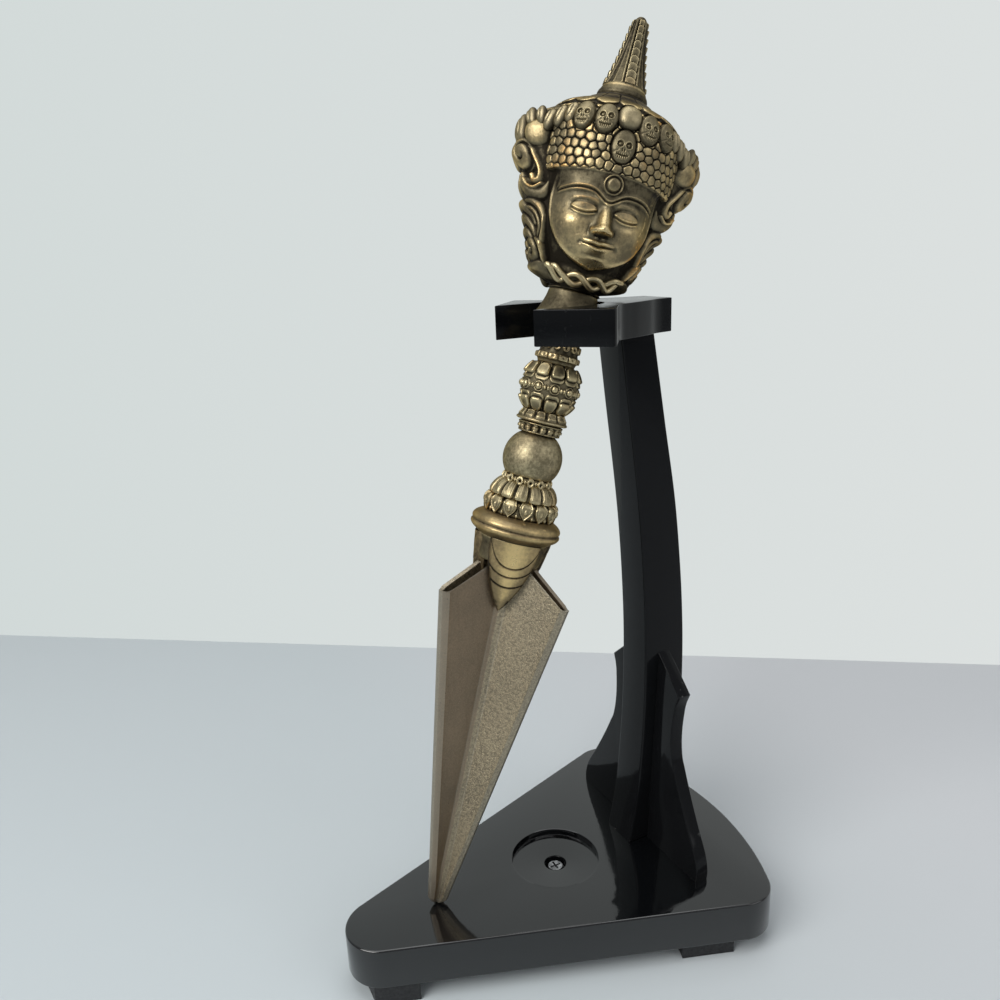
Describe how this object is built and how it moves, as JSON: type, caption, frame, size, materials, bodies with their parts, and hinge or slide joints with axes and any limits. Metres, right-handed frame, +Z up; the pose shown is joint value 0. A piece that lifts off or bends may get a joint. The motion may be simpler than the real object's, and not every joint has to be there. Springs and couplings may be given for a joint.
{
  "type": "phurba on a display stand",
  "caption": "Three-sided ritual peg with a hollow three-winged blade, stacked castings and a two-faced head, leaning in the claw of a dark bowed stand.",
  "frame": {"origin": "middle of the outline's box at the underside of the feet", "axes": "+Z up, -Y towards the point of the base, +Y towards the post, +X to the stand's right seen from its point"},
  "size_m": [0.129, 0.18, 0.3626],
  "materials": {
    "black_lacquer": "gloss",
    "foot_block": "painted satin",
    "steel_screw": "plain",
    "blade_metal": "ground satin",
    "aged_brass": "dark patina with rubbed high spots",
    "rubbed_brass": "rubbed satin"
  },
  "bodies": {
    "stand": {"base_plate": "black_lacquer", "front_foot": "foot_block", "rear_feet": "foot_block", "post": "black_lacquer", "bracket_right": "black_lacquer", "bracket_left": "black_lacquer", "collar": "black_lacquer", "recess_screw": "steel_screw", "post_screws": "steel_screw", "collar_screws": "steel_screw"},
    "phurba": {"blade": "blade_metal", "blade_socket": "rubbed_brass", "flange": "rubbed_brass", "lotus_band": "aged_brass", "petal_dome": "aged_brass", "ring_dot_band": "aged_brass", "ball": "aged_brass", "bead_ring": "aged_brass", "petal_skirt": "aged_brass", "knot": "aged_brass", "neck_band": "aged_brass", "neck_bell": "aged_brass", "head": "aged_brass", "spike": "aged_brass", "tang": "blade_metal"}
  },
  "joints": [
    {"name": "phurba_lift_out", "type": "slide", "parent": "stand", "child": "phurba", "axis": [0, -0.9848, 0.1736], "range_m": [0, 0.26]}
  ]
}
